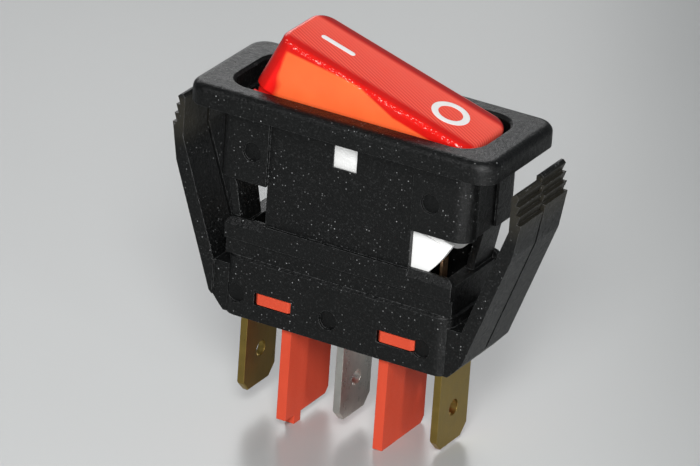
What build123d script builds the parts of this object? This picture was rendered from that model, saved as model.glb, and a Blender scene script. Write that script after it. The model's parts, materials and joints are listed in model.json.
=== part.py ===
from build123d import *
import math
import os

# Lit panel rocker switch, single pole, on-off. Millimetres, +Z up out of the panel.
# The origin is the middle of the bezel's underside, which seats on the panel's face.
# +X runs along the bezel to the "O" end, -Y is the long wall that faces the viewer.
# The rocker stands as photographed, with its "O" end pressed and the contacts open.

# Bezel and the opening that the rocker moves in
bezel_end_rail = 3.4
bezel_width = 14.8
bezel_height = 2.3
bezel_corner = 2.2
bezel_edge = 0.9
opening_end_gap = 1.5
opening_width = 9.8
opening_corner = 2.6
opening_edge = 0.3

# Rocker: heights are counted from its pivot, square to its top
pivot_drop = 2.8
rocker_tilt = 16.3
lens_length = 25.6
lens_width = 8.9
lens_end_draft = 1.05
lens_corner = 2.0
lens_edge = 0.55
lens_rim = 2.0
lens_top = 8.35
lens_wall = 1.1
lens_gap = 0.15

# Collar: the part of the body inside the panel's cut-out
collar_end_step = 0.4
collar_width = 10.7
collar_corner = 1.8
collar_depth = 7.9
collar_end_wall = 0.7
collar_bore_corner = 0.6
panel_left = 8.75
panel_right = 8.05
panel_recess = 0.35
end_recess = 0.3
end_recess_low = -3.4
end_recess_high = 0.8
pivot_window_length = 2.7
pivot_window_high = 1.25
pivot_window_low = 3.7
mark_radius = 1.05
mark_depth = 0.3
upper_mark_inset_left = 4.1
upper_mark_inset_right = 4.55
upper_mark_drop = 4.5

# Side frame between collar and lower box: windows, sills and leaning end posts
frame_wall = 0.9
sill_top = 12.3
sill_corner = 0.8
sill_bevel_in = 0.5
sill_bevel_drop = 0.75
band_top = 14.6
band_recess = 0.5
end_sill_top = 13.2
end_sill_wall = 1.6
end_sill_inset = 0.13
post_low = 0.45
post_inset_top = 1.05
post_inset_foot = 0.6
post_wall = 0.85
sweep_gap = 0.15

# Lower box that holds the terminal base
box_top = 16.5
box_bottom = 23.17
box_end_step = 1.47
box_width = 10.3
box_corner = 1.6
box_end_wall = 0.9
box_side_wall = 0.65
box_edge = 0.25
lower_mark_middle = -0.7
lower_mark_inset = 2.33
lower_mark_drop = 20.65

# Snap fingers: two at each end, sizes counted out from the box's end wall
finger_gap = 0.5
finger_reach_y = 4.95
finger_lean = 19.4
finger_root_out = 1.3
finger_root_drop = 17.8
finger_knee_drop = 5.2
finger_foot_out = 0.45
finger_foot_corner = 0.45
finger_heel_rise = 1.9
finger_stem = 1.6
finger_outer_knee_drop = 7.9
tooth_pitch = 1.0
tooth_depth = 0.5
tooth_step_in = 0.15
tooth_count = 3
tooth_low_drop = 3.75
tooth_out = 7.05
tip_rise = 1.2
tip_thickness = 0.85
tip_round = 0.3
web_set_back = 0.25

# Terminal base: a plate with pillars, four snap tabs and two barrier fins
base_gap = 0.08
plate_top = 19.9
plate_bottom = 23.1
tab_inset = 6.0
tab_width = 4.15
tab_top = 20.05
tab_height = 1.2
tab_bevel = 0.3
tab_set_back = 0.05
slot_gap = 0.1
fin_thickness = 1.1
fin_bottom = 33.74
fin_corner = 0.6
nub_height = 1.05
nub_width = 1.3
nub_y = -1.9
side_pillar_width = 1.5
side_pillar_top = 18.6
centre_pillar_width = 3.2
centre_pillar_top = 18.2
pillar_length = 7.8

# Blade terminals
blade_width = 6.3
blade_thickness = 0.8
blade_tip = 32.86
blade_tip_chamfer = 1.1
blade_edge = 0.12
blade_hole_radius = 0.9
blade_hole_rise = 4.1
blade_inset = 1.79
blade_slot_gap = 0.04
side_blade_top = 17.0
contact_arm_width = 3.4

# See-saw contact on the centre blade
see_saw_tilt = 7.0
see_saw_drop = 16.15
see_saw_seat_gap = 0.05
bar_knee_inset = 2.3
bar_wing = 16.0
bar_thickness = 0.5
bar_width = 3.9
horn_rise = 1.2
horn_gap = 0.12
arm_bend = 0.7
contact_inset = 4.94
contact_edge = 0.1
contact_radius = 1.3
contact_height = 0.5
contact_gap = 0.08
rivet_shank_radius = 0.5
rivet_head_radius = 0.8
rivet_head = 0.2
rivet_gap = 0.02
stop_width = 1.4
stop_top = 16.0

# Carrier under the lens, white
carrier_floor = 1.0
deck_inset = 0.35
deck_corner = 1.6
skirt_bottom = 7.4
skirt_corner = 1.6
skirt_shoulder_inset = 1.35
skirt_shoulder_drop = 2.4
skirt_pad_drop = 2.9
skirt_outer = 4.3
skirt_pad = 0.2
skirt_wall = 0.55
boss_radius = 1.95
boss_bevel_start = 0.3
boss_bevel = 0.35
bearing_gap = 0.05
bearing_skin = 0.15
reflector_end_gap = 0.15
reflector_gap = 0.1
reflector_corner = 1.0
reflector_wall = 0.6
reflector_top = 6.45
reflector_break = 0.5
reflector_low = 2.9
guide_radius = 2.0
guide_bottom = 8.8
guide_roof = 0.9
hub_radius = 1.9

# Plunger and its spring
plunger_radius = 1.2
plunger_gap = 0.05
plunger_top = 4.0
plunger_shoulder = 10.9
plunger_tip_drop = 11.55
plunger_tip_radius = 0.9
plunger_bore_radius = 0.85
plunger_bore_bottom = 8.5
spring_wire = 0.3
spring_radius = 0.6
spring_turns = 6
spring_seat_gap = 0.02

# Glow lamp, its leads, the series resistor and the sliding lamp contacts
lamp_radius = 1.85
lamp_share = 0.485
lamp_wall = 0.35
lamp_end_gap = 1.7
lamp_foot_wall = 0.7
lamp_seat_gap = 0.05
electrode_radius = 0.28
electrode_spacing = 1.3
electrode_share = 0.58
lead_radius = 0.2
lead_sides = 6
lead_bend = 0.3
lead_drop_y = 2.35
lead_hole_gap = 0.06
lead_end_gap = 0.3
seal_gap = 0.02
lead_stub = 0.5
resistor_radius = 0.8
resistor_share = 0.212
resistor_edge = 0.25
shoe_thickness = 0.35
shoe_low = 2.15
shoe_width = 1.2
shoe_gap = 0.02
shoe_end_rise = 0.25
leaf_thickness = 0.25
leaf_gap = 0.05
leaf_slope = 25.0
leaf_tip = 2.2
leaf_foot = 18.5

# Values worked out from those above
lens_top_length = lens_length - 2 * lens_end_draft
deck_length = lens_length - 2 * deck_inset
deck_width = lens_width - 2 * deck_inset
opening_length = lens_length + 2 * opening_end_gap
bezel_length = opening_length + 2 * bezel_end_rail
collar_length = opening_length + 2 * collar_end_step
well_length = collar_length - 2 * collar_end_wall
well_width = lens_width + 2 * lens_gap
skirt_radius = well_length / 2 - sweep_gap
skirt_shoulder = skirt_radius - skirt_shoulder_inset
upper_mark_left = collar_length / 2 - upper_mark_inset_left
upper_mark_right = collar_length / 2 - upper_mark_inset_right
box_length = collar_length - 2 * box_end_step
lower_mark_pitch = box_length / 2 - lower_mark_inset
box_bore_length = box_length - 2 * box_end_wall
box_bore_width = box_width - 2 * box_side_wall
base_length = box_bore_length - 2 * base_gap
base_width = box_bore_width - 2 * base_gap
frame_bore_width = collar_width - 2 * frame_wall
post_high = frame_bore_width / 2
web_reach_y = finger_reach_y - web_set_back
finger_heel_drop = box_bottom - finger_heel_rise
blade_pitch = box_length / 2 - blade_inset
fin_reach_x = blade_pitch / 2
tab_reach_x = box_length / 2 - tab_inset
contact_reach = blade_pitch - contact_inset
contact_arm_reach = contact_reach - contact_radius - contact_edge
bar_half_length = contact_reach + contact_radius + contact_edge
bar_knee = contact_reach - bar_knee_inset
bar_rise = bar_knee * math.tan(math.radians(bar_wing)) + see_saw_seat_gap
stop_reach = contact_reach + contact_edge
boss_reach = collar_width / 2 - panel_recess - bearing_skin - bearing_gap
shoe_inner = hub_radius + shoe_gap
shoe_outer = shoe_inner + shoe_thickness
reflector_length = lens_top_length - 2 * lens_wall - 2 * reflector_end_gap
reflector_width = lens_width - 2 * lens_wall - 2 * reflector_gap
deck_top = lens_rim
lamp_height = deck_top + lamp_seat_gap + lamp_radius
resistor_height = deck_top + lamp_seat_gap + resistor_radius
reflector_inside = reflector_length - 2 * reflector_wall
lead_drop_x = (shoe_inner + shoe_outer) / 2
lead_turn_x = reflector_inside / 2 - lead_end_gap - lead_radius
resistor_length = resistor_share * reflector_inside
resistor_right = lead_turn_x - lead_stub
resistor_left = resistor_right - resistor_length
lamp_length = lamp_share * reflector_inside
lamp_left = lamp_end_gap - reflector_inside / 2
lamp_right = lamp_left + lamp_length
lamp_foot = lamp_right - lamp_foot_wall
electrode_length = electrode_share * lamp_length

# Slack for picking out edges by their place
pick_margin = 0.01


def block(length, width, low, high, x=0, y=0):
    """Box between two heights, its middle at x, y."""
    return Pos(x, y, (low + high) / 2) * Box(length, width, high - low)


def rounded_block(length, width, corner, low, high):
    """Upright block with rounded corners between two heights."""
    return extrude(Pos(0, 0, low) * RectangleRounded(length, width, corner), high - low)


def block_round(radius, low, high, x=0, y=0):
    """Upright cylinder between two heights."""
    return Pos(x, y, (low + high) / 2) * Cylinder(radius, high - low)


def side_plate(outline, low, high):
    """Extrudes an outline drawn in X and Z from y = low to y = high."""
    return extrude(Plane.XZ.offset(-high) * outline, high - low)


def shape(*points):
    """Straight-sided outline."""
    return make_face(Polyline(*points, close=True))


def cross_pin(radius, low, high, x=0, z=0):
    """Round pin along Y."""
    return Pos(x, (low + high) / 2, z) * Rot(X=90) * Cylinder(radius, high - low)


def turned(solid):
    """The same solid at the other end: half a turn about Z."""
    return Rot(Z=180) * solid


def on_rocker(solid):
    """Places a solid drawn about the rocker's pivot."""
    return Pos(0, 0, -pivot_drop) * Rot(Y=rocker_tilt) * solid


def on_see_saw(solid):
    """Places a solid drawn about the see-saw's axis."""
    return Pos(0, 0, -see_saw_drop) * Rot(Y=-see_saw_tilt) * solid


# Housing

def make_bezel():
    frame = rounded_block(bezel_length, bezel_width, bezel_corner, 0, bezel_height)
    frame = fillet(frame.faces().sort_by(Axis.Z)[-1].outer_wire().edges(), bezel_edge)
    frame -= rounded_block(opening_length, opening_width, opening_corner, 0, bezel_height)
    rim = frame.faces().sort_by(Axis.Z)[-1].inner_wires()[0].edges()
    return chamfer(rim, opening_edge)


def make_collar():
    collar = rounded_block(collar_length, collar_width, collar_corner, -collar_depth, 0)
    collar -= rounded_block(well_length, well_width, collar_bore_corner, -collar_depth, 0)
    recess_middle = (end_recess_low + end_recess_high) / 2
    recess = block(2 * end_recess, end_recess_high - end_recess_low, -collar_depth, 0,
                   collar_length / 2, recess_middle)
    return collar - recess - turned(recess)


def make_long_wall():
    """Wall on the viewer's side between collar and box: middle panel, sill and band."""
    half = box_length / 2
    outline = shape((-half, -box_top), (half, -box_top), (half, -sill_top),
                    (panel_right, -sill_top), (panel_right, -collar_depth),
                    (-panel_left, -collar_depth), (-panel_left, -sill_top),
                    (-half, -sill_top))
    wall = side_plate(outline, -collar_width / 2, -frame_bore_width / 2)
    corners = [edge for edge in wall.edges().filter_by(Axis.Y)
               if edge.center().Z > -sill_top - pick_margin
               and abs(edge.center().X) > half - pick_margin]
    wall = fillet(ShapeList(corners), sill_corner)
    band = block(box_length, 2 * band_recess, -box_top, -band_top, 0, -collar_width / 2)
    return wall - [band, sill_bevel(-half, -panel_left), sill_bevel(panel_right, half)]


def sill_bevel(start, end):
    """Bevel cut along a sill's upper outer edge."""
    face = -collar_width / 2
    outline = shape((face, -sill_top), (face + sill_bevel_in, -sill_top),
                    (face, -sill_top - sill_bevel_drop))
    return extrude(Plane.YZ.offset(start) * outline, end - start)


def make_post():
    """Leaning post at the "O" end, standing on the end sill of the box."""
    top = collar_length / 2 - post_inset_top
    foot = box_length / 2 - post_inset_foot
    outline = shape((top, -collar_depth), (foot, -end_sill_top),
                    (foot - post_wall, -end_sill_top), (top - post_wall, -collar_depth))
    post = side_plate(outline, post_low, post_high)
    end_sill = block(end_sill_wall, frame_bore_width, -box_top, -end_sill_top,
                     box_length / 2 - end_sill_inset - end_sill_wall / 2)
    return post + end_sill


def make_box():
    box = rounded_block(box_length, box_width, box_corner, -box_bottom, -box_top)
    box = chamfer(box.faces().sort_by(Axis.Z)[-1].outer_wire().edges(), box_edge)
    return box - block(box_bore_length, box_bore_width, -box_bottom, -box_top)


def finger_line(height, out):
    """Point of a line that leans out with the fingers, out from the box's end at their root."""
    lean = math.tan(math.radians(finger_lean))
    return box_length / 2 + out + (height + finger_root_drop) * lean, height


def finger_outline(drop):
    """Snap finger in X and Z, with its toothed tip lowered by drop."""
    end = box_length / 2
    root = end + finger_root_out
    heel_x, heel = finger_line(-finger_heel_drop, finger_root_out + finger_stem)
    points = [(root, heel - (heel_x - root)), (heel_x, heel),
              finger_line(-finger_outer_knee_drop, finger_root_out + finger_stem)]
    for tooth in range(tooth_count):
        crest = end + tooth_out - tooth * tooth_step_in
        height = tooth * tooth_pitch - tooth_low_drop - drop
        points += [(crest, height), (crest - tooth_depth, height)]
    tip_top = (tooth_count - 1) * tooth_pitch + tip_rise - tooth_low_drop - drop
    tip_out = end + tooth_out - tooth_count * tooth_step_in
    tip_in = tip_out - tip_thickness
    points += [(tip_out, tip_top - tip_round), (tip_out - tip_round, tip_top),
               (tip_in + tip_round, tip_top), (tip_in, tip_top - tip_round),
               finger_line(-finger_knee_drop, finger_root_out), (root, -finger_root_drop)]
    return shape(*points)


def make_web():
    """Web that joins the fingers' stems to the box's end wall."""
    inside = box_length / 2 - box_end_wall / 2
    foot = box_length / 2 + finger_foot_out
    outline = shape((inside, -finger_root_drop),
                    (box_length / 2 + finger_root_out, -finger_root_drop),
                    finger_line(-finger_heel_drop, finger_root_out + finger_stem),
                    (foot, -box_bottom + finger_foot_corner),
                    (foot - finger_foot_corner, -box_bottom), (inside, -box_bottom))
    return side_plate(outline, -web_reach_y, web_reach_y)


def make_fingers():
    """Both fingers at the "O" end: the far one stands half a tooth taller."""
    near = side_plate(finger_outline(tooth_pitch / 2), -finger_reach_y, -finger_gap / 2)
    far = side_plate(finger_outline(0), finger_gap / 2, finger_reach_y)
    return near + far + make_web()


def blind_mark(x, drop, wall):
    """Shallow round mark in the long wall on the viewer's side."""
    return cross_pin(mark_radius, -wall, -wall + mark_depth, x, -drop)


def make_housing():
    end_parts = make_post() + make_fingers()
    wall = make_long_wall()
    housing = make_bezel() + make_collar() + make_box()
    housing += [wall, turned(wall), end_parts, turned(end_parts)]
    panel = block(panel_left + panel_right, 2 * panel_recess, -sill_top, 0,
                  (panel_right - panel_left) / 2, -collar_width / 2)
    window = block(pivot_window_length, collar_width, -pivot_window_low, -pivot_window_high)
    bearing = cross_pin(boss_radius + bearing_gap, -boss_reach - bearing_gap,
                        boss_reach + bearing_gap, 0, -pivot_drop)
    slot = block(tab_width + 2 * slot_gap, 2 * box_width,
                 -tab_top - tab_height - slot_gap, -tab_top + slot_gap)
    sweep_room = cross_pin(skirt_radius + sweep_gap, -post_high, post_high, 0, -pivot_drop)
    sweep_room &= block(collar_length, collar_width, -box_top, -collar_depth)
    cuts = [panel, turned(panel), window, bearing, sweep_room]
    cuts += [Pos(x, 0, 0) * slot for x in (-tab_reach_x, tab_reach_x)]
    marks = [blind_mark(x, upper_mark_drop, collar_width / 2)
             for x in (-upper_mark_left, upper_mark_right)]
    marks += [blind_mark(lower_mark_middle + place * lower_mark_pitch, lower_mark_drop,
                         box_width / 2) for place in (-1, 0, 1)]
    for mark in marks:
        cuts += [mark, turned(mark)]
    return housing - cuts


# Terminal base

def make_snap_tab():
    """Snap tab on the viewer's side, its outer corners bevelled."""
    reach = box_width / 2 - tab_set_back
    tab = block(tab_width, reach, -tab_top - tab_height, -tab_top, 0, -reach / 2)
    front = tab.faces().sort_by(Axis.Y)[0]
    return chamfer(front.edges().filter_by(Axis.Z), tab_bevel)


def make_fin():
    outline = shape((-base_width / 2, -plate_bottom), (base_width / 2, -plate_bottom),
                    (base_width / 2, -fin_bottom + fin_corner),
                    (base_width / 2 - fin_corner, -fin_bottom), (-base_width / 2, -fin_bottom))
    return extrude(Plane.YZ.offset(-fin_thickness / 2) * outline, fin_thickness)


def make_base():
    base = block(base_length, base_width, -plate_bottom, -plate_top)
    tab = make_snap_tab()
    fin = make_fin()
    nub = block(fin_thickness, nub_width, -fin_bottom - nub_height, -fin_bottom,
                -fin_reach_x, nub_y)
    side_pillar = block(side_pillar_width, pillar_length, -plate_top, -side_pillar_top)
    stop = block(stop_width, contact_arm_width, -plate_top, -stop_top, -stop_reach)
    base += [block(centre_pillar_width, pillar_length, -plate_top, -centre_pillar_top),
             nub, stop]
    for side in (-1, 1):
        base += [Pos(side * fin_reach_x, 0, 0) * fin, Pos(side * blade_pitch, 0, 0) * side_pillar]
        base += [Pos(side * tab_reach_x, 0, 0) * tab, Pos(side * tab_reach_x, 0, 0) * turned(tab)]
    slot = block(blade_thickness + 2 * blade_slot_gap, blade_width + 2 * blade_slot_gap,
                 -plate_bottom, -centre_pillar_top)
    return base - [Pos(x, 0, 0) * slot for x in (-blade_pitch, 0, blade_pitch)]


# Terminals

def make_blade(top, x):
    """Push-on blade from its chamfered tip up to a height, standing at x."""
    half = blade_width / 2
    tip = -blade_tip
    outline = shape((-half, top), (half, top), (half, tip + blade_tip_chamfer),
                    (half - blade_tip_chamfer, tip), (-half + blade_tip_chamfer, tip),
                    (-half, tip + blade_tip_chamfer))
    outline -= Pos(0, tip + blade_hole_rise) * Circle(blade_hole_radius)
    blade = extrude(Plane.YZ.offset(-blade_thickness / 2) * outline, blade_thickness)
    point = [edge for edge in blade.edges() if edge.center().Z < tip + blade_tip_chamfer]
    point = [edge for edge in point if abs(edge.tangent_at(0.5).X) < 0.5]
    return Pos(x, 0, 0) * chamfer(ShapeList(point), blade_edge)


def fixed_contact_top():
    """Height that the closed moving contact just clears."""
    tilt = math.radians(see_saw_tilt)
    low_corner = ((bar_rise - contact_height) * math.cos(tilt)
                  - (contact_reach + contact_radius) * math.sin(tilt))
    return -see_saw_drop + low_corner - contact_gap


def rivet(face, seat, through, x):
    """Contact rivet: its face disc stands on seat, its shank goes through to a small head."""
    up = 1 if face > seat else -1
    disc = block_round(contact_radius, min(face, seat), max(face, seat), x)
    far = seat - up * through
    shank = block_round(rivet_shank_radius, min(seat, far), max(seat, far), x)
    end = far - up * rivet_head
    return disc + shank + block_round(rivet_head_radius, min(far, end), max(far, end), x)


def make_right_terminal():
    arm_top = fixed_contact_top() - contact_height
    outer = blade_pitch + blade_thickness / 2
    arm = block(outer - contact_arm_reach, contact_arm_width, arm_top - blade_thickness, arm_top,
                (outer + contact_arm_reach) / 2)
    terminal = make_blade(arm_top, blade_pitch) + arm
    bend = [edge for edge in terminal.edges().filter_by(Axis.Y)
            if edge.center().X > outer - pick_margin
            and edge.center().Z > arm_top - pick_margin]
    terminal = fillet(ShapeList(bend), arm_bend)
    return terminal - block_round(rivet_shank_radius + rivet_gap, arm_top - blade_thickness,
                                  arm_top, contact_reach)


def make_fixed_contact():
    top = fixed_contact_top()
    return rivet(top, top - contact_height, blade_thickness, contact_reach)


def make_centre_terminal():
    seat = -see_saw_drop
    blade = make_blade(seat + horn_rise, 0)
    notch = block(2 * blade_thickness, bar_width + 2 * horn_gap, seat, seat + 2 * horn_rise)
    return blade - notch


# See-saw

def make_contact_bar():
    under = [(-bar_half_length, bar_rise), (-bar_knee, bar_rise), (0, see_saw_seat_gap),
             (bar_knee, bar_rise), (bar_half_length, bar_rise)]
    over = [(x, z + bar_thickness) for x, z in reversed(under)]
    bar = side_plate(shape(*under, *over), -bar_width / 2, bar_width / 2)
    return bar - block_round(rivet_shank_radius + rivet_gap, bar_rise,
                             bar_rise + bar_thickness, contact_reach)


def make_moving_contact():
    return rivet(bar_rise - contact_height, bar_rise, bar_thickness, contact_reach)


# Rocker

def make_lens():
    """Hollow cap: its open rim stands on the carrier's deck."""
    def cap(inset, top):
        low, high = lens_length / 2 - inset, lens_top_length / 2 - inset
        outline = shape((-low, lens_rim), (low, lens_rim), (high, top), (-high, top))
        solid = side_plate(outline, inset - lens_width / 2, lens_width / 2 - inset)
        uprights = [edge for edge in solid.edges() if abs(edge.tangent_at(0.5).Z) > 0.5]
        return fillet(ShapeList(uprights), lens_corner - inset)
    outside = cap(0, lens_top)
    outside = fillet(outside.faces().sort_by(Axis.Z)[-1].edges(), lens_edge)
    return outside - cap(lens_wall, lens_top - lens_wall)


def make_skirt():
    """Side plate on the viewer's side, its ends round about the pivot."""
    half = 2 * skirt_radius
    outline = Circle(skirt_radius) & shape((-half, -skirt_bottom), (half, -skirt_bottom),
                                           (half, carrier_floor), (-half, carrier_floor))
    outline = fillet(outline.vertices().sort_by(Axis.Y)[:2], skirt_corner)
    for side in (-1, 1):
        outline -= shape((side * skirt_shoulder, carrier_floor), (side * half, carrier_floor),
                         (side * half, -skirt_shoulder_drop),
                         (side * skirt_shoulder, -skirt_shoulder_drop))
    skirt = side_plate(outline, -skirt_outer, skirt_pad - skirt_outer + skirt_wall)
    relief = block(2 * half, 2 * skirt_pad, -skirt_pad_drop, carrier_floor, 0, -skirt_outer)
    return skirt - relief


def make_pivot_boss():
    """Boss that turns in the wall's recess, its lower half bevelled so that it snaps in."""
    boss = cross_pin(boss_radius, -boss_reach, skirt_pad - skirt_outer)
    corner = shape((-boss_reach, boss_bevel_start), (-boss_reach, -boss_radius),
                   (-boss_reach + boss_bevel, -boss_radius))
    return boss - extrude(Plane.YZ.offset(-boss_radius) * corner, 2 * boss_radius)


def make_reflector():
    """Open white box round the lamp, its long sides cut down towards the "O" end."""
    box = rounded_block(reflector_length, reflector_width, reflector_corner,
                        deck_top, reflector_top)
    box -= block(reflector_inside, reflector_width - 2 * reflector_wall,
                 deck_top, reflector_top)
    end = reflector_length / 2 + reflector_wall
    cut = shape((reflector_break, reflector_top), (end, reflector_low), (end, reflector_top))
    return box - side_plate(cut, -reflector_width, reflector_width)


def make_carrier():
    skirt, boss = make_skirt(), make_pivot_boss()
    hub = cross_pin(hub_radius, skirt_pad - skirt_outer, skirt_outer - skirt_pad)
    carrier = rounded_block(deck_length, deck_width, deck_corner, carrier_floor, deck_top)
    carrier += [make_reflector(), skirt, turned(skirt), boss, turned(boss), hub,
                block_round(guide_radius, -guide_bottom, carrier_floor)]
    lead_hole = block_round(lead_radius + lead_hole_gap, carrier_floor, deck_top,
                            lead_drop_x, lead_drop_y)
    return carrier - [block_round(plunger_radius + plunger_gap, -guide_bottom, -guide_roof),
                      lead_hole, mirror(lead_hole, Plane.XZ)]


def make_plunger():
    body = block_round(plunger_radius, -plunger_shoulder, -plunger_top)
    cone_height = plunger_tip_drop - plunger_shoulder
    cone = Pos(0, 0, -(plunger_tip_drop + plunger_shoulder) / 2) * Cone(
        plunger_tip_radius, plunger_radius, cone_height)
    tip = Pos(0, 0, -plunger_tip_drop) * Sphere(plunger_tip_radius)
    return body + cone + tip - block_round(plunger_bore_radius, -plunger_bore_bottom,
                                           -plunger_top)


def make_spring():
    """Coil spring between the plunger's bore and the roof of its guide."""
    low = -plunger_bore_bottom + spring_seat_gap + spring_wire / 2
    high = -guide_roof - spring_seat_gap - spring_wire / 2
    path = Helix((high - low) / spring_turns, high - low, spring_radius)
    wire = Plane(origin=path @ 0, z_dir=path % 0) * Rectangle(spring_wire, spring_wire)
    return Pos(0, 0, low) * sweep(wire, path=path, is_frenet=True)


# Lamp circuit

def make_lamp_glass():
    """Glass envelope, domed at its left end, with the leads sealed in its foot."""
    dome, top = lamp_radius - lamp_length / 2, lamp_length / 2
    glass = block_round(lamp_radius, dome, top) + Pos(0, 0, dome) * Sphere(lamp_radius)
    glass -= block_round(lamp_radius - lamp_wall, dome, top - lamp_foot_wall)
    glass -= [block_round(lead_radius + seal_gap, top - lamp_foot_wall, top,
                          0, side * electrode_spacing / 2) for side in (-1, 1)]
    return Pos((lamp_left + lamp_right) / 2, 0, lamp_height) * Rot(Y=90) * glass


def make_electrodes():
    """Two rods from the glass foot into the neon."""
    middle = lamp_foot - electrode_length / 2
    rod = Pos(middle, electrode_spacing / 2, lamp_height) * Rot(Y=90) * Cylinder(
        electrode_radius, electrode_length)
    return rod + mirror(rod, Plane.XZ)


def make_lead(*points):
    """Thin wire along straight runs with small bends."""
    path = FilletPolyline(*points, radius=lead_bend)
    section = Plane(origin=path @ 0, z_dir=path % 0) * RegularPolygon(lead_radius, lead_sides)
    return sweep(section, path=path)


def make_left_lead():
    """From the lamp's foot over to the shoe on the far side."""
    start = electrode_spacing / 2
    return make_lead((lamp_foot, start, lamp_height), (lead_drop_x, start, lamp_height),
                     (lead_drop_x, lead_drop_y, lamp_height),
                     (lead_drop_x, lead_drop_y, shoe_end_rise))


def make_right_lead():
    """From the lamp's foot to the resistor."""
    start = -electrode_spacing / 2
    return make_lead((lamp_foot, start, lamp_height),
                     (lamp_right + lead_stub, start, lamp_height),
                     (resistor_left - lead_stub, 0, resistor_height),
                     (resistor_left, 0, resistor_height))


def make_resistor_lead():
    """From the resistor's far end back to the shoe on the near side."""
    return make_lead((resistor_right, 0, resistor_height), (lead_turn_x, 0, resistor_height),
                     (lead_turn_x, -lead_drop_y, resistor_height),
                     (lead_drop_x, -lead_drop_y, resistor_height),
                     (lead_drop_x, -lead_drop_y, shoe_end_rise))


def make_resistor():
    body = Rot(Y=90) * Cylinder(resistor_radius, resistor_length)
    body = chamfer(body.edges().filter_by(GeomType.CIRCLE), resistor_edge)
    return Pos((resistor_left + resistor_right) / 2, 0, resistor_height) * body


def make_shoe():
    """Half-round contact shoe under the hub, on the near side."""
    reach = 2 * shoe_outer
    half = shape((-reach, shoe_end_rise), (reach, shoe_end_rise), (reach, -reach),
                 (-reach, -reach))
    ring = (Circle(shoe_outer) - Circle(shoe_inner)) & half
    return side_plate(ring, -shoe_low - shoe_width, -shoe_low)


def make_leaf():
    """Leaf spring from the blade at the "O" end up to the shoe on the near side."""
    slope = math.radians(leaf_slope)
    outer_x = blade_pitch - blade_thickness / 2
    inner_x = outer_x - leaf_thickness
    top = -pivot_drop - (shoe_outer + leaf_gap) / math.cos(slope)
    under = top - leaf_thickness / math.cos(slope)
    outline = shape((outer_x, -leaf_foot), (inner_x, -leaf_foot),
                    (inner_x, under - inner_x * math.tan(slope)),
                    (-leaf_tip, under + leaf_tip * math.tan(slope)),
                    (-leaf_tip, top + leaf_tip * math.tan(slope)),
                    (outer_x, top - outer_x * math.tan(slope)))
    return side_plate(outline, -shoe_low - shoe_width, -shoe_low)


nodes = {
    "housing": make_housing(),
    "base": make_base(),
    "left_terminal": make_blade(-side_blade_top, -blade_pitch),
    "centre_terminal": make_centre_terminal(),
    "right_terminal": make_right_terminal(),
    "fixed_contact": make_fixed_contact(),
    "lamp_leaf_left": turned(make_leaf()),
    "lamp_leaf_right": make_leaf(),
    "contact_bar": on_see_saw(make_contact_bar()),
    "moving_contact": on_see_saw(make_moving_contact()),
    "rocker_lens": on_rocker(make_lens()),
    "rocker_carrier": on_rocker(make_carrier()),
    "lamp_glass": on_rocker(make_lamp_glass()),
    "lamp_electrodes": on_rocker(make_electrodes()),
    "lamp_lead_left": on_rocker(make_left_lead()),
    "lamp_lead_right": on_rocker(make_right_lead()),
    "series_resistor": on_rocker(make_resistor()),
    "resistor_lead": on_rocker(make_resistor_lead()),
    "lamp_shoe_left": on_rocker(turned(make_shoe())),
    "lamp_shoe_right": on_rocker(make_shoe()),
    "plunger": on_rocker(make_plunger()),
    "plunger_spring": on_rocker(make_spring()),
}

os.makedirs("parts", exist_ok=True)
for name, solid in nodes.items():
    export_step(solid, f"parts/{name}.step")
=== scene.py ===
"""Looks of a lit panel rocker switch: finishes, printed marks, floor, lights and camera."""
import json
import math

import bmesh
import bpy
from mathutils import Matrix, Vector


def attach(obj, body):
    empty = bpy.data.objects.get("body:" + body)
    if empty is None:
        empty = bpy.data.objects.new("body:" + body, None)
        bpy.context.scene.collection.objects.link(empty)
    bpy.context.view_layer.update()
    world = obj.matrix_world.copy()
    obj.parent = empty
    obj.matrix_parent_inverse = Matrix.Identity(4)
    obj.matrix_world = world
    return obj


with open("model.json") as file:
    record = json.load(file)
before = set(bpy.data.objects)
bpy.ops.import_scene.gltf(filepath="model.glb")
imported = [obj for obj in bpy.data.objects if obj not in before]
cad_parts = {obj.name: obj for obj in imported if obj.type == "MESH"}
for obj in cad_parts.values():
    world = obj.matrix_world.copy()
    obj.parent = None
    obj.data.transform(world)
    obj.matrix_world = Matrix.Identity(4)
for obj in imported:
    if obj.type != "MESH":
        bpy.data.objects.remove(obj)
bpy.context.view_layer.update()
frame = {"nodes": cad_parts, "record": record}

MM = 0.001
nodes = frame["nodes"]

# Places taken over from the part, in millimetres from its origin
PIVOT = Vector((0.0, 0.0, -2.8))
ROCKER_TILT = math.radians(16.3)
FIN_REACH = 6.28
FIN_BOTTOM = -33.74
NUB_REACH = 5.18
NUB_BOTTOM = -34.79
MARK_RADIUS = 1.05
UPPER_MARKS = [(x, -4.5) for x in (-10.6, 10.15)]
LOWER_MARKS = [(x, -20.65) for x in (-11.6, -0.7, 10.2)]

# The lens and its marks, in millimetres along, across and up from the pivot
LENS_TOP = 8.35
LENS_HALF = 4.45
OFF_MARK_MIDDLE = 6.87
OFF_MARK_OUTER = 2.05
OFF_MARK_INNER = 1.32
ON_MARK_LOW = -9.05
ON_MARK_HIGH = -4.95
ON_MARK_WIDTH = 0.68
INK_THICKNESS = 0.03

# The camera that the photograph was fitted with: degrees and millimetres
AZIMUTH = 27.982
ELEVATION = 24.572
ROLL = 4.054
DISTANCE = 677.8
TARGET = Vector((-1.534, 0.0, -12.916))
FOCAL_PIXELS = 6632.7
IMAGE_WIDTH = 700
SENSOR = 36.0
NEAR_CLIP = 0.01
FAR_CLIP = 20.0

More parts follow.
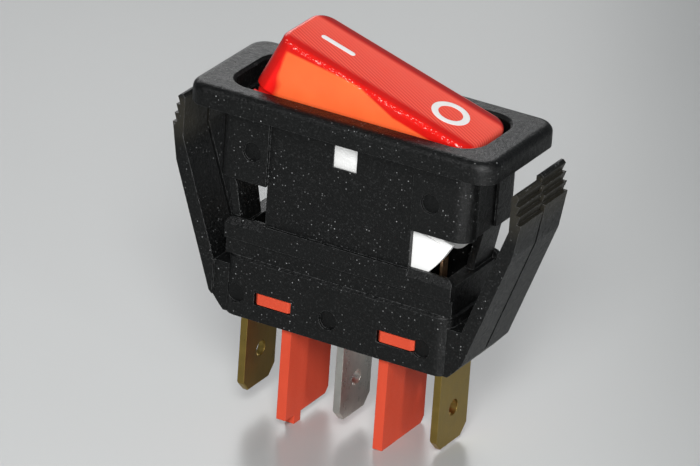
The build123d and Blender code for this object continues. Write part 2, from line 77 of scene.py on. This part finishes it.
# Surroundings: places and sizes in millimetres, powers in watts
FLOOR_HALF = 4000.0
LIGHT_AIM = (0, 0, -12)
LIGHTS = [
    ("key", (150, -320, 235), (130, 130), 1.8),
    ("front", (208, -360, 60), (30, 90), 0.5),
    ("back", (-270, 324, 158), (240, 240), 0.48),
    ("side", (335, -185, 30), (16, 120), 0.4),
]
SKY = (0.9, 0.95, 1.0, 1.0)
SKY_STRENGTH = 0.16

# Colours, as shares of red, green and blue light
BLACK_DARK = (0.001, 0.0012, 0.0012)
BLACK_LIGHT = (0.003, 0.0032, 0.0032)
# Lighter brown painted on the finger tips as a highlight
TIP_HIGHLIGHT_BROWN = (0.020, 0.018, 0.013)
BLACK_WORN = (0.016, 0.0165, 0.0165)
# Colour of the painted highlight along the edges
EDGE_HIGHLIGHT_COLOUR = (0.115, 0.118, 0.118)
# Colour of the painted glints
GLINT = (0.42, 0.43, 0.43)
RED_DEEP = (0.55, 0.008, 0.006)
RED_BODY = (0.80, 0.014, 0.010)
RED_END = (1.0, 0.014, 0.012)
RED_TOP = (1.0, 0.140, 0.095)
RED_TOP_DARK = (1.0, 0.115, 0.080)
RED_PRISM = (0.62, 0.012, 0.010)
RED_SHADE = (0.36, 0.030, 0.028)
RED_RIM_HIGHLIGHT = (0.95, 0.30, 0.27)
# Colours of the painted light where the lit reflector shows through the lens's walls
GLOW = (1.0, 0.175, 0.050)
GLOW_DARK = (1.0, 0.125, 0.032)
# Pale colour of the painted sparkle highlights along the lens's top edges
SPARKLE_COLOUR = (1.0, 0.55, 0.50)
WHITE = (0.84, 0.84, 0.83)
WHITE_DARK = (0.76, 0.76, 0.75)
INK = (0.95, 0.94, 0.93)
INK_THIN = (0.84, 0.82, 0.80)
GLASS = (0.96, 0.94, 0.92)
FLOOR = (0.47, 0.48, 0.475)
FLOOR_DARK = (0.44, 0.45, 0.445)

# Metals: colour where clean, colour where dull, and roughness
METALS = {
    "brass": ((0.44, 0.31, 0.085), (0.28, 0.20, 0.055), 0.34),
    "silver_plate": ((0.78, 0.77, 0.72), (0.52, 0.51, 0.47), 0.3),
    "silver": ((0.85, 0.84, 0.81), (0.70, 0.69, 0.66), 0.22),
    "spring_bronze": ((0.72, 0.45, 0.27), (0.58, 0.34, 0.19), 0.3),
    "copper_strip": ((0.78, 0.43, 0.30), (0.62, 0.31, 0.20), 0.3),
    "lamp_wire": ((0.72, 0.71, 0.69), (0.55, 0.54, 0.52), 0.28),
    "spring_steel": ((0.60, 0.60, 0.61), (0.45, 0.45, 0.46), 0.3),
}

# Zones of the black moulding, in millimetres: each pair is where it begins and where it is full
FINGER_OUT = (14.8, 15.1)
FINGER_BELOW_BEZEL = (-0.6, -1.2)
FINGER_TIP = (-6.5, -4.0)
MARK_EDGE = (MARK_RADIUS + 0.05, MARK_RADIUS - 0.1)
# Reach of the painted edge highlight
EDGE_HIGHLIGHT_REACH = 0.1

# Zones of the lens and its carrier, in millimetres from the pivot, as pairs again
SIDE_SKIN = (LENS_HALF - 0.12, LENS_HALF - 0.03)
TOP_SKIN = (7.2, 7.6)
THICK_EDGE = (2.7, 3.3)
FAR_SHADE = (2.9, 3.6)
FAR_RIM_HIGHLIGHT = (3.95, 4.1)
LEFT_END = (-9.9, -11.2)
SPARKLE_ABOVE = (7.88, 8.0)
SPARKLE_BELOW = (8.27, 8.18)
SPARKLE_BESIDE = (3.85, 4.0)
FOOT_ABOVE = (0.85, 0.95)
FOOT_BELOW = (2.1, 2.05)
FOOT_BESIDE = (9.4, 9.5)
PRISM_FADE = (3.0, -3.0)
PRISM_PITCH = 0.42
PRISM_SLANT = 0.35
PRISM_SHARE = 0.6

# Outline of the painted glow, where the lit reflector shows through the wall. Its upper edge
# rises, then falls to a lowest height, and each stretch is given as a slope and a height over the
# pivot
GLOW_RISE = (0.11, 8.43)
GLOW_FALL = (-0.24, 7.73)
GLOW_LOWEST = 7.05
GLOW_BLUR = (0.12, -0.12)
GLOW_LEFT = (-8.75, -8.15)
GLOW_LEAN = 0.09
GLOW_WAVE = 2.2

# Noise levels at which a pattern begins and is full
USUAL_LEVELS = (0.3, 0.7)
PIT_LEVELS = (0.55, 0.70)
EDGE_HIGHLIGHT_LEVELS = (0.42, 0.58)
SPARKLE_LEVELS = (0.56, 0.63)
GLINT_CLOUD = (0.38, 0.60)

# Other levels, as pairs again: a painted glint's reach and chance, and the cosine of an edge's
# turn
GLINT_DOT = (0.24, 0.06)
GLINT_CHOICE = (0.62, 0.97)
EDGE_TURN = (0.97, 0.72)


# Node helpers

def new_material(name):
    """Empty material with its node tree and Principled shader."""
    made = bpy.data.materials.new(name)
    made.use_nodes = True
    tree = made.node_tree
    return made, tree, tree.nodes["Principled BSDF"]


def plug(tree, value, socket):
    """Links a value that comes from a node, or sets a constant."""
    if isinstance(value, bpy.types.NodeSocket):
        tree.links.new(value, socket)
    else:
        socket.default_value = value


def add(tree, kind, inputs=None, **settings):
    """Adds a node, sets its options, and fills or links its inputs."""
    node = tree.nodes.new(kind)
    for name, value in settings.items():
        setattr(node, name, value)
    for name, value in (inputs or {}).items():
        plug(tree, value, node.inputs[name])
    return node


def stretched(tree, where, scale):
    """Coordinates multiplied along the axes."""
    return add(tree, "ShaderNodeMapping", {"Vector": where, "Scale": scale}).outputs["Vector"]


def millimetres(tree, scale=(1, 1, 1)):
    """Object coordinates counted in millimetres, multiplied along the axes by scale."""
    place = add(tree, "ShaderNodeTexCoord")
    return stretched(tree, place.outputs["Object"], [share / MM for share in scale])


def rocker_millimetres(tree):
    """Millimetres along, across and up from the pivot, square to the lens's top."""
    place = add(tree, "ShaderNodeTexCoord")
    turned = add(tree, "ShaderNodeMapping",
                 {"Vector": place.outputs["Object"], "Location": PIVOT * MM,
                  "Rotation": (0, ROCKER_TILT, 0), "Scale": (MM, MM, MM)},
                 vector_type="TEXTURE")
    parts = add(tree, "ShaderNodeSeparateXYZ", {"Vector": turned.outputs["Vector"]})
    return turned.outputs["Vector"], *(parts.outputs[axis] for axis in "XYZ")


def noise(tree, where, scale, detail=2.0, rough=0.5):
    """Soft noise around 0.5, with about scale waves to the millimetre."""
    return add(tree, "ShaderNodeTexNoise",
               {"Vector": where, "Scale": scale, "Detail": detail,
                "Roughness": rough}).outputs["Fac"]


def step(tree, value, start, end):
    """Ramp from 0 at start to 1 at end."""
    return add(tree, "ShaderNodeMapRange",
               {"Value": value, "From Min": start, "From Max": end}).outputs["Result"]


def between(tree, factor, low, high):
    """Maps the usual levels of a noise onto a number between low and high."""
    start, end = USUAL_LEVELS
    return add(tree, "ShaderNodeMapRange",
               {"Value": factor, "From Min": start, "From Max": end, "To Min": low,
                "To Max": high}).outputs["Result"]


def maths(tree, operation, *values):
    node = add(tree, "ShaderNodeMath", operation=operation)
    for socket, value in zip(node.inputs, values):
        plug(tree, value, socket)
    return node.outputs["Value"]


def size_of(tree, value):
    """A value without its sign."""
    return maths(tree, "ABSOLUTE", value)


def both(tree, *masks):
    """Where all masks hold."""
    result = masks[0]
    for mask in masks[1:]:
        result = maths(tree, "MULTIPLY", result, mask)
    return result


def any_of(tree, masks):
    """Where one of the masks holds."""
    result = masks[0]
    for mask in masks[1:]:
        result = maths(tree, "MAXIMUM", result, mask)
    return result


def average(tree, one, two):
    half = 0.5
    return maths(tree, "ADD", maths(tree, "MULTIPLY", one, half),
                 maths(tree, "MULTIPLY", two, half))


def vector_maths(tree, operation, *vectors):
    """A number worked out from vectors."""
    node = add(tree, "ShaderNodeVectorMath", operation=operation)
    for socket, vector in zip(node.inputs, vectors):
        plug(tree, vector, socket)
    return node.outputs["Value"]


def blend_colours(tree, factor, one, two):
    """Colour one where the factor is 0, and colour two where it is 1."""
    mix = add(tree, "ShaderNodeMix", data_type="RGBA")
    factor_socket, one_socket, two_socket = mix.inputs[0], mix.inputs[6], mix.inputs[7]
    plug(tree, factor, factor_socket)
    for colour, socket in ((one, one_socket), (two, two_socket)):
        plug(tree, (*colour, 1.0) if isinstance(colour, tuple) else colour, socket)
    return mix.outputs[2]


def bevelled(tree, reach_mm):
    """Surface direction, rounded within a reach of each edge."""
    node = add(tree, "ShaderNodeBevel", {"Radius": reach_mm * MM}, samples=4)
    return node.outputs["Normal"]


def bump(tree, shader, height, depth_mm, round_mm=0.08):
    """Surface relief, over edges that read as slightly rounded."""
    made = add(tree, "ShaderNodeBump", {"Height": height, "Distance": depth_mm * MM,
                                        "Normal": bevelled(tree, round_mm)})
    plug(tree, made.outputs["Normal"], shader.inputs["Normal"])


def spread_light(shader, weight, radius):
    """Light that spreads under the surface, red furthest."""
    shader.inputs["Subsurface Weight"].default_value = weight
    shader.inputs["Subsurface Radius"].default_value = radius
    shader.inputs["Subsurface Scale"].default_value = 0.6 * MM


# Black housing

def edges(tree, reach_mm):
    """Mask of the edges, where a rounded normal leaves the face's own."""
    face = add(tree, "ShaderNodeNewGeometry")
    turn = vector_maths(tree, "DOT_PRODUCT", bevelled(tree, reach_mm), face.outputs["Normal"])
    return step(tree, turn, *EDGE_TURN)


def round_marks(tree, place):
    """Mask of the blind round marks, which lie on both long walls, half a turn apart, where
    painted shade darkens the recesses.
    """
    facing = maths(tree, "SIGN", place.outputs["Y"])
    along = maths(tree, "MULTIPLY", maths(tree, "MULTIPLY", place.outputs["X"], facing), -1.0)
    masks = []
    for x, z in UPPER_MARKS + LOWER_MARKS:
        off = add(tree, "ShaderNodeCombineXYZ",
                  {"X": maths(tree, "SUBTRACT", along, x),
                   "Y": maths(tree, "SUBTRACT", place.outputs["Z"], z)})
        masks.append(step(tree, vector_maths(tree, "LENGTH", off.outputs["Vector"]), *MARK_EDGE))
    return any_of(tree, masks)


def glints(tree, where):
    """Mask of painted glints: small bright specks of highlight, thick in some clouds and absent
    between them.
    """
    cells = add(tree, "ShaderNodeTexVoronoi", {"Vector": where, "Scale": 3.0})
    chance = add(tree, "ShaderNodeSeparateColor", {"Color": cells.outputs["Color"]})
    return both(tree, step(tree, cells.outputs["Distance"], *GLINT_DOT),
                step(tree, chance.outputs["Red"], *GLINT_CHOICE),
                step(tree, noise(tree, where, scale=0.3), *GLINT_CLOUD))


def black_moulding():
    """Spark-eroded black nylon: grainy, with painted glints, painted edge highlights, finger tips
    painted browner as a highlight, and round marks painted dark as shade.
    """
    made, tree, shader = new_material("black_moulding")
    where = millimetres(tree)
    place = add(tree, "ShaderNodeSeparateXYZ", {"Vector": where})
    grain = noise(tree, where, scale=2.4, detail=6.0, rough=0.7)
    cloud = noise(tree, where, scale=0.35)
    pits = noise(tree, where, scale=4.5, detail=3.0, rough=0.6)
    colour = blend_colours(tree, cloud, BLACK_DARK, BLACK_LIGHT)
    # Painted highlight: the upper tips of the fingers beyond the bezel painted lighter brown
    tip = both(tree, step(tree, size_of(tree, place.outputs["X"]), *FINGER_OUT),
               step(tree, place.outputs["Z"], *FINGER_BELOW_BEZEL),
               step(tree, place.outputs["Z"], *FINGER_TIP))
    colour = blend_colours(tree, tip, colour, TIP_HIGHLIGHT_BROWN)
    colour = blend_colours(tree, step(tree, pits, *PIT_LEVELS), colour, BLACK_WORN)
    # Painted highlight: lighter colour along the edges, broken by the grain
    edge_highlight = both(tree, edges(tree, EDGE_HIGHLIGHT_REACH), step(tree, grain, *EDGE_HIGHLIGHT_LEVELS))
    colour = blend_colours(tree, edge_highlight, colour, EDGE_HIGHLIGHT_COLOUR)
    # Painted shade: the recessed round marks darkened
    mark_shade = round_marks(tree, place)
    colour = blend_colours(tree, mark_shade, colour, BLACK_DARK)
    # Painted highlights: small glints, kept out of the round marks
    glint = both(tree, maths(tree, "SUBTRACT", 1.0, mark_shade), glints(tree, where))
    colour = blend_colours(tree, glint, colour, GLINT)
    plug(tree, colour, shader.inputs["Base Color"])
    plug(tree, between(tree, grain, low=0.26, high=0.50), shader.inputs["Roughness"])
    shader.inputs["Specular IOR Level"].default_value = 0.3
    bump(tree, shader, grain, depth_mm=0.09, round_mm=0.14)
    return made


# Red lens

def ridges(tree, place, pitch):
    """Evenly spaced soft ridges along one direction, from 0 to 1."""
    wave = maths(tree, "SINE", maths(tree, "MULTIPLY", place, 2 * math.pi / pitch))
    return maths(tree, "MULTIPLY_ADD", wave, 0.5, 0.5)


def glowing_side(tree, where, along, up):
    """Mask of the painted light on the lens's side wall, where the lit white reflector behind it
    shows through.
    """
    rise = maths(tree, "MULTIPLY_ADD", along, *GLOW_RISE)
    fall = maths(tree, "MULTIPLY_ADD", along, *GLOW_FALL)
    edge = maths(tree, "MAXIMUM", maths(tree, "MINIMUM", rise, fall), GLOW_LOWEST)
    below = step(tree, maths(tree, "SUBTRACT", up, edge), *GLOW_BLUR)
    leaning = maths(tree, "MULTIPLY_ADD", up, GLOW_LEAN, along)
    wave = noise(tree, where, scale=0.45, detail=1.0)
    wavy = maths(tree, "MULTIPLY_ADD", wave, GLOW_WAVE, leaning)
    return both(tree, below, step(tree, wavy, *GLOW_LEFT))


def lens_top(tree, across, up, cloud, deep, prisms):
    """Colour of the top: prism lines on its near half, deeper red along both long edges, painted
    shade along the far edge and a painted highlight on its rim.
    """
    colour = blend_colours(tree, cloud, RED_TOP_DARK, RED_TOP)
    lines = both(tree, prisms, step(tree, across, *PRISM_FADE), PRISM_SHARE)
    colour = blend_colours(tree, lines, colour, RED_PRISM)
    band = step(tree, size_of(tree, across), *THICK_EDGE)
    colour = blend_colours(tree, band, colour, deep)
    high = step(tree, up, *TOP_SKIN)
    # Painted shade along the far edge of the top, then a painted highlight on its rim
    for zone, tone in ((FAR_SHADE, RED_SHADE), (FAR_RIM_HIGHLIGHT, RED_RIM_HIGHLIGHT)):
        colour = blend_colours(tree, both(tree, high, step(tree, across, *zone)), colour, tone)
    return colour


def lens_walls(tree, where, along, up, deep):
    """Colour of the long walls: deep red, brighter at the left end, with the reflector's painted
    light in between.
    """
    colour = blend_colours(tree, step(tree, along, *LEFT_END), deep, RED_END)
    flow = noise(tree, where, scale=0.25, detail=3.0)
    glow = blend_colours(tree, flow, GLOW_DARK, GLOW)
    return blend_colours(tree, glowing_side(tree, where, along, up), colour, glow)


def red_lens():
    """Translucent red polycarbonate, painted with what shows through it: the lit reflector
    behind its walls, prisms under its top, and thick edges in deeper red."""
    made, tree, shader = new_material("red_lens")
    where, along, across, up = rocker_millimetres(tree)
    cloud = noise(tree, where, scale=0.35, detail=3.0)
    haze = noise(tree, where, scale=0.8, detail=3.0)
    scuff_and_sparkle = noise(tree, stretched(tree, where, (3.0, 6.0, 6.0)), scale=1.0, detail=5.0, rough=0.7)
    slant = maths(tree, "MULTIPLY_ADD", along, PRISM_SLANT, across)
    prisms = ridges(tree, slant, PRISM_PITCH)
    deep = blend_colours(tree, cloud, RED_DEEP, RED_BODY)
    colour = lens_top(tree, across, up, cloud, deep, prisms)
    side = step(tree, size_of(tree, across), *SIDE_SKIN)
    colour = blend_colours(tree, side, colour, lens_walls(tree, where, along, up, deep))
    # Painted highlights: sparkles along the top edges of the lens
    sparkle = both(tree, step(tree, up, *SPARKLE_ABOVE), step(tree, up, *SPARKLE_BELOW),
                 step(tree, size_of(tree, across), *SPARKLE_BESIDE),
                 step(tree, scuff_and_sparkle, *SPARKLE_LEVELS))
    colour = blend_colours(tree, sparkle, colour, SPARKLE_COLOUR)
    plug(tree, colour, shader.inputs["Base Color"])
    plug(tree, between(tree, haze, low=0.14, high=0.24), shader.inputs["Roughness"])
    shader.inputs["IOR"].default_value = 1.5
    shader.inputs["Specular IOR Level"].default_value = 0.2
    shader.inputs["Transmission Weight"].default_value = 0.04
    spread_light(shader, weight=0.25, radius=(1.0, 0.2, 0.1))
    bump(tree, shader, average(tree, prisms, scuff_and_sparkle), depth_mm=0.012, round_mm=0.15)
    return made


# Other finishes

def plain_moulding(name, bright, dark, rough, soft=0.0):
    """Satin coloured plastic with faint flow marks."""
    made, tree, shader = new_material(name)
    flow = noise(tree, millimetres(tree, (0.5, 0.5, 0.12)), scale=1.0, detail=3.0)
    grain = noise(tree, millimetres(tree), scale=5.0, detail=3.0)
    spread = 0.06
    plug(tree, blend_colours(tree, flow, dark, bright), shader.inputs["Base Color"])
    plug(tree, between(tree, grain, rough - spread, rough + spread), shader.inputs["Roughness"])
    shader.inputs["Specular IOR Level"].default_value = 0.22
    if soft:
        spread_light(shader, weight=soft, radius=(1.0, 0.3, 0.2))
    bump(tree, shader, grain, depth_mm=0.012)
    return made


def white_moulding():
    """White acetal, with the red of the lens's foot where its deck carries the lens."""
    made, tree, shader = new_material("white_moulding")
    where, along, _, up = rocker_millimetres(tree)
    flow = noise(tree, where, scale=0.5, detail=3.0)
    grain = noise(tree, where, scale=5.0, detail=3.0)
    white = blend_colours(tree, flow, WHITE_DARK, WHITE)
    foot = both(tree, step(tree, up, *FOOT_ABOVE), step(tree, up, *FOOT_BELOW),
                step(tree, size_of(tree, along), *FOOT_BESIDE))
    plug(tree, blend_colours(tree, foot, white, RED_BODY), shader.inputs["Base Color"])
    plug(tree, between(tree, grain, low=0.3, high=0.42), shader.inputs["Roughness"])
    bump(tree, shader, grain, depth_mm=0.012)
    return made


def metal(name, bright, dark, rough):
    """Rolled strip or wire: streaked along its length, duller in patches."""
    made, tree, shader = new_material(name)
    lines = noise(tree, millimetres(tree, (3.0, 3.0, 0.15)), scale=3.0, detail=4.0, rough=0.65)
    stain = noise(tree, millimetres(tree), scale=0.7, detail=4.0, rough=0.6)
    smoother = 0.09
    duller = 0.12
    shader.inputs["Metallic"].default_value = 1.0
    plug(tree, blend_colours(tree, stain, dark, bright), shader.inputs["Base Color"])
    plug(tree, between(tree, average(tree, lines, stain), rough - smoother, rough + duller),
         shader.inputs["Roughness"])
    bump(tree, shader, lines, depth_mm=0.01)
    return made


def lamp_glass():
    """Clear glass with a little haze."""
    made, tree, shader = new_material("lamp_glass")
    haze = noise(tree, millimetres(tree), scale=1.2)
    shader.inputs["Base Color"].default_value = (*GLASS, 1.0)
    shader.inputs["Transmission Weight"].default_value = 0.95
    plug(tree, between(tree, haze, low=0.02, high=0.08), shader.inputs["Roughness"])
    return made


def white_print():
    """Opaque white ink of the marks, slightly uneven."""
    made, tree, shader = new_material("white_print")
    cover = noise(tree, millimetres(tree), scale=3.0, detail=3.0)
    plug(tree, blend_colours(tree, cover, INK_THIN, INK), shader.inputs["Base Color"])
    plug(tree, between(tree, cover, low=0.32, high=0.45), shader.inputs["Roughness"])
    bump(tree, shader, cover, depth_mm=0.004)
    return made


def floor_finish():
    """Plain pale grey, lightly polished."""
    made, tree, shader = new_material("floor_finish")
    shade = noise(tree, millimetres(tree), scale=0.02)
    plug(tree, blend_colours(tree, shade, FLOOR_DARK, FLOOR), shader.inputs["Base Color"])
    shader.inputs["Roughness"].default_value = 0.3
    return made


FINISHES = {
    "black_moulding": black_moulding(),
    "red_lens": red_lens(),
    "red_moulding": plain_moulding("red_moulding", bright=(0.60, 0.072, 0.032),
                                   dark=(0.50, 0.052, 0.022), rough=0.5, soft=0.1),
    "resistor_body": plain_moulding("resistor_body", bright=(0.70, 0.56, 0.38),
                                    dark=(0.62, 0.48, 0.30), rough=0.5),
    "white_moulding": white_moulding(),
    "lamp_glass": lamp_glass(),
    "white_print": white_print(),
}
FINISHES |= {name: metal(name, *look) for name, look in METALS.items()}


def dress_nodes():
    """Gives each solid of the part its finish."""
    slots = {row["node"]: row["material_slot"] for row in frame["record"]["subparts"]}
    for name, piece in nodes.items():
        piece.data.materials.clear()
        piece.data.materials.append(FINISHES[slots[name]])


# Marks printed on the rocker

def circle(middle, radius, count=72):
    """Outline of a circle on the rocker's middle line."""
    turns = [2 * math.pi * i / count for i in range(count)]
    return [(middle + radius * math.cos(turn), radius * math.sin(turn)) for turn in turns]


def bar(low, high, width, steps=8):
    """Outline of a bar along the rocker with round ends."""
    half = width / 2
    points = []
    for end, start in ((high - half, -0.5), (low + half, 0.5)):
        turns = [math.pi * (start + i / steps) for i in range(steps + 1)]
        points += [(end + half * math.cos(turn), half * math.sin(turn)) for turn in turns]
    return points


def to_rocker(point):
    """A point counted from the pivot, square to the lens's top, in metres in the row frame."""
    turn = Matrix.Rotation(ROCKER_TILT, 3, "Y")
    return (PIVOT + turn @ Vector(point)) * MM


def smooth_by_angle(piece, degrees):
    for face in piece.data.polygons:
        face.use_smooth = True
    piece.data.set_sharp_from_angle(angle=math.radians(degrees))


def print_mark(name, outlines):
    """Flat printed mark on the lens's top: outer outline, then holes."""
    mesh = bmesh.new()
    loops = []
    for outline in outlines:
        points = [mesh.verts.new((x, y, LENS_TOP)) for x, y in outline]
        loops += [mesh.edges.new((points[i - 1], points[i])) for i in range(len(points))]
    bmesh.ops.triangle_fill(mesh, use_beauty=True, edges=loops)
    bmesh.ops.recalc_face_normals(mesh, faces=mesh.faces)
    lifted = bmesh.ops.extrude_face_region(mesh, geom=mesh.faces[:])
    for item in lifted["geom"]:
        if isinstance(item, bmesh.types.BMVert):
            item.co.z += INK_THICKNESS
    bmesh.ops.recalc_face_normals(mesh, faces=mesh.faces)
    for point in mesh.verts:
        point.co = to_rocker(point.co)
    data = bpy.data.meshes.new(name)
    mesh.to_mesh(data)
    mesh.free()
    piece = bpy.data.objects.new(name, data)
    bpy.context.scene.collection.objects.link(piece)
    piece.data.materials.append(FINISHES["white_print"])
    smooth_by_angle(piece, 30)
    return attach(piece, "rocker")


# Surroundings

def make_floor():
    """Pale floor through the two points that the switch stands on."""
    lean = math.atan2(FIN_BOTTOM - NUB_BOTTOM, FIN_REACH + NUB_REACH)
    half = FLOOR_HALF * MM
    data = bpy.data.meshes.new("floor")
    corners = [(-half, -half, 0), (half, -half, 0), (half, half, 0), (-half, half, 0)]
    data.from_pydata(corners, [], [(0, 1, 2, 3)])
    floor = bpy.data.objects.new("floor", data)
    bpy.context.scene.collection.objects.link(floor)
    floor.rotation_euler = (0, -lean, 0)
    floor.location = Vector((FIN_REACH, 0, FIN_BOTTOM)) * MM
    floor.data.materials.append(floor_finish())


def soft_light(name, place, size, power):
    """Soft box at a place, aimed at the middle of the switch."""
    lamp = bpy.data.lights.new(name, "AREA")
    lamp.shape = "RECTANGLE"
    lamp.size = size[0] * MM
    lamp.size_y = size[1] * MM
    lamp.energy = power
    holder = bpy.data.objects.new(name, lamp)
    holder.location = Vector(place) * MM
    aim = (Vector(LIGHT_AIM) - Vector(place)).normalized()
    holder.rotation_euler = aim.to_track_quat("-Z", "Y").to_euler()
    bpy.context.scene.collection.objects.link(holder)


def make_lights():
    """Dim even sky and the soft boxes."""
    world = bpy.data.worlds.new("studio")
    world.use_nodes = True
    sky = world.node_tree.nodes["Background"]
    sky.inputs["Color"].default_value = SKY
    sky.inputs["Strength"].default_value = SKY_STRENGTH
    bpy.context.scene.world = world
    for name, place, size, power in LIGHTS:
        soft_light(name, place, size, power)


def make_camera():
    """Camera at the photograph's angle, distance and focal length."""
    turn, rise, roll = (math.radians(angle) for angle in (AZIMUTH, ELEVATION, ROLL))
    back = Vector((math.sin(turn) * math.cos(rise), -math.cos(turn) * math.cos(rise),
                   math.sin(rise)))
    right = Vector((math.cos(turn), math.sin(turn), 0))
    up = back.cross(right)
    side = right * math.cos(roll) + up * math.sin(roll)
    top = back.cross(side)
    camera = bpy.data.objects.new("camera", bpy.data.cameras.new("camera"))
    camera.data.sensor_width = SENSOR
    camera.data.lens = FOCAL_PIXELS * SENSOR / IMAGE_WIDTH
    camera.data.clip_start = NEAR_CLIP
    camera.data.clip_end = FAR_CLIP
    place = Matrix((side, top, back)).transposed().to_4x4()
    place.translation = (TARGET + back * DISTANCE) * MM
    camera.matrix_world = place
    bpy.context.scene.collection.objects.link(camera)
    bpy.context.scene.camera = camera


dress_nodes()
print_mark("off_mark", [circle(OFF_MARK_MIDDLE, OFF_MARK_OUTER),
                        circle(OFF_MARK_MIDDLE, OFF_MARK_INNER)])
print_mark("on_mark", [bar(ON_MARK_LOW, ON_MARK_HIGH, ON_MARK_WIDTH)])
make_floor()
make_lights()
make_camera()
bpy.context.scene.view_settings.view_transform = "Standard"
